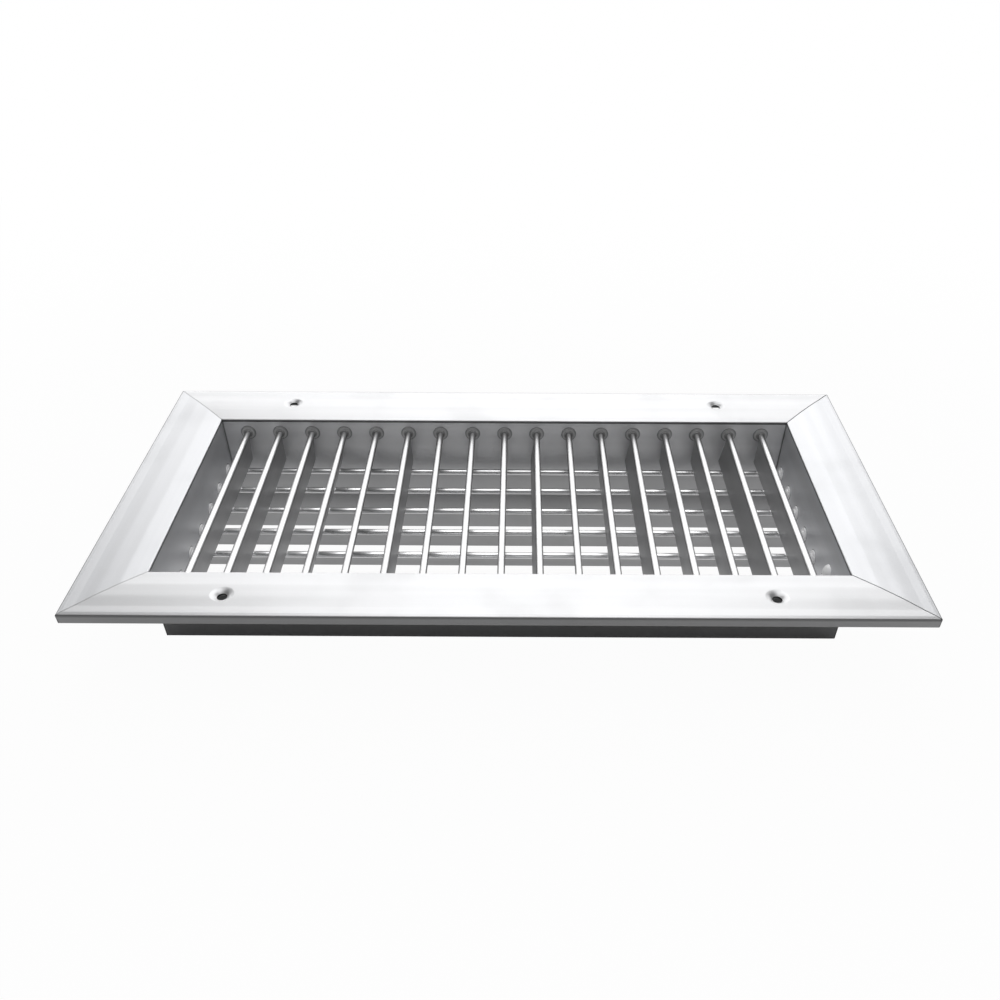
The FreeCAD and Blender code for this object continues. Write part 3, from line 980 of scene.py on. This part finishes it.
class GRILLE_OT_finish_keys(bpy.types.Operator):
    """Give the corner keys behind the flange their zinc plating"""

    bl_idname = "grille.finish_keys"
    bl_label = "Finish corner keys"

    def execute(self, context):
        dress(nodes_named("corner_key"), zinc_plate(context.scene.grille_finish))
        return {"FINISHED"}


class GRILLE_OT_finish_front_blades(bpy.types.Operator):
    """Give the upright front blades their satin anodised finish"""

    bl_idname = "grille.finish_front_blades"
    bl_label = "Finish front blades"

    def execute(self, context):
        finish = context.scene.grille_finish
        bead = (FRONT_BEAD_START, finish.nose_colour_and_highlight, finish.front_bead_roughness)
        metal = satin_aluminium(
            "blade_metal_y", ALONG_Y, finish.blade_colour, finish.blade_roughness, finish, bead=bead
        )
        dress(nodes_named("front_blade"), metal)
        return {"FINISHED"}


class GRILLE_OT_finish_rear_blades(bpy.types.Operator):
    """Give the level rear blades their satin anodised finish"""

    bl_idname = "grille.finish_rear_blades"
    bl_label = "Finish rear blades"

    def execute(self, context):
        finish = context.scene.grille_finish
        bead = (REAR_BEAD_START, finish.nose_colour_and_highlight, finish.rear_bead_roughness)
        metal = satin_aluminium(
            "blade_metal_x", ALONG_X, finish.blade_colour, finish.blade_roughness, finish, bead=bead
        )
        dress(nodes_named("rear_blade"), metal)
        return {"FINISHED"}


class GRILLE_OT_finish_front_bushes(bpy.types.Operator):
    """Mould the front blades' bushes in grey nylon"""

    bl_idname = "grille.finish_front_bushes"
    bl_label = "Finish front bushes"

    def execute(self, context):
        finish = context.scene.grille_finish
        nylon = moulded_nylon("grey_nylon", finish.front_bush_colour, **GREY_NYLON)
        dress(nodes_named("front_bushes"), nylon)
        return {"FINISHED"}


class GRILLE_OT_finish_rear_bushes(bpy.types.Operator):
    """Mould the rear blades' bushes and the wall plug in natural nylon"""

    bl_idname = "grille.finish_rear_bushes"
    bl_label = "Finish rear bushes and plug"

    def execute(self, context):
        finish = context.scene.grille_finish
        colour = finish.rear_bush_colour
        dress(nodes_named("rear_bush"), moulded_nylon("natural_nylon", colour, **NATURAL_NYLON))
        dress(["neck_wall_plug"], moulded_nylon("plug_nylon", colour, **PLUG_NYLON))
        return {"FINISHED"}


class GRILLE_OT_set_stage(bpy.types.Operator):
    """Set the camera, the pale floor and the soft lights"""

    bl_idname = "grille.set_stage"
    bl_label = "Set stage"

    def execute(self, context):
        studio = context.scene.grille_studio
        set_camera(studio)
        set_floor(studio)
        set_room(studio)
        for name, x, z, width, height in WINDOWS:
            level = getattr(studio, name + "_level")
            soft_lamp(name, (x, studio.window_place, z), (x, 0.0, z), width, height, level)
        soft_lamp("ceiling_panel", CEILING_PLACE, CEILING_TARGET, *CEILING_SIZE, studio.ceiling_level)
        return {"FINISHED"}


class GRILLE_PT_sidebar(bpy.types.Panel):
    """Grille settings and steps in the 3D view's sidebar"""

    bl_idname = "GRILLE_PT_sidebar"
    bl_label = "Supply air grille"
    bl_space_type = "VIEW_3D"
    bl_region_type = "UI"
    bl_category = "Grille"

    def draw(self, context):
        for step in STEPS:
            self.layout.operator(step.bl_idname)
        for settings in (context.scene.grille_finish, context.scene.grille_studio):
            for name in settings.__annotations__:
                self.layout.prop(settings, name)


STEPS = (
    GRILLE_OT_finish_frame,
    GRILLE_OT_finish_keys,
    GRILLE_OT_finish_front_blades,
    GRILLE_OT_finish_rear_blades,
    GRILLE_OT_finish_front_bushes,
    GRILLE_OT_finish_rear_bushes,
    GRILLE_OT_set_stage,
)
CLASSES = (GrilleFinish, GrilleStudio, *STEPS, GRILLE_PT_sidebar)


def register():
    for cls in CLASSES:
        bpy.utils.register_class(cls)
    bpy.types.Scene.grille_finish = PointerProperty(type=GrilleFinish)
    bpy.types.Scene.grille_studio = PointerProperty(type=GrilleStudio)


def unregister():
    del bpy.types.Scene.grille_studio
    del bpy.types.Scene.grille_finish
    for cls in reversed(CLASSES):
        bpy.utils.unregister_class(cls)


def main():
    """Run every step in order."""
    register()
    bpy.ops.grille.finish_frame()
    bpy.ops.grille.finish_keys()
    bpy.ops.grille.finish_front_blades()
    bpy.ops.grille.finish_rear_blades()
    bpy.ops.grille.finish_front_bushes()
    bpy.ops.grille.finish_rear_bushes()
    bpy.ops.grille.set_stage()


if __name__ == "__main__":
    main()
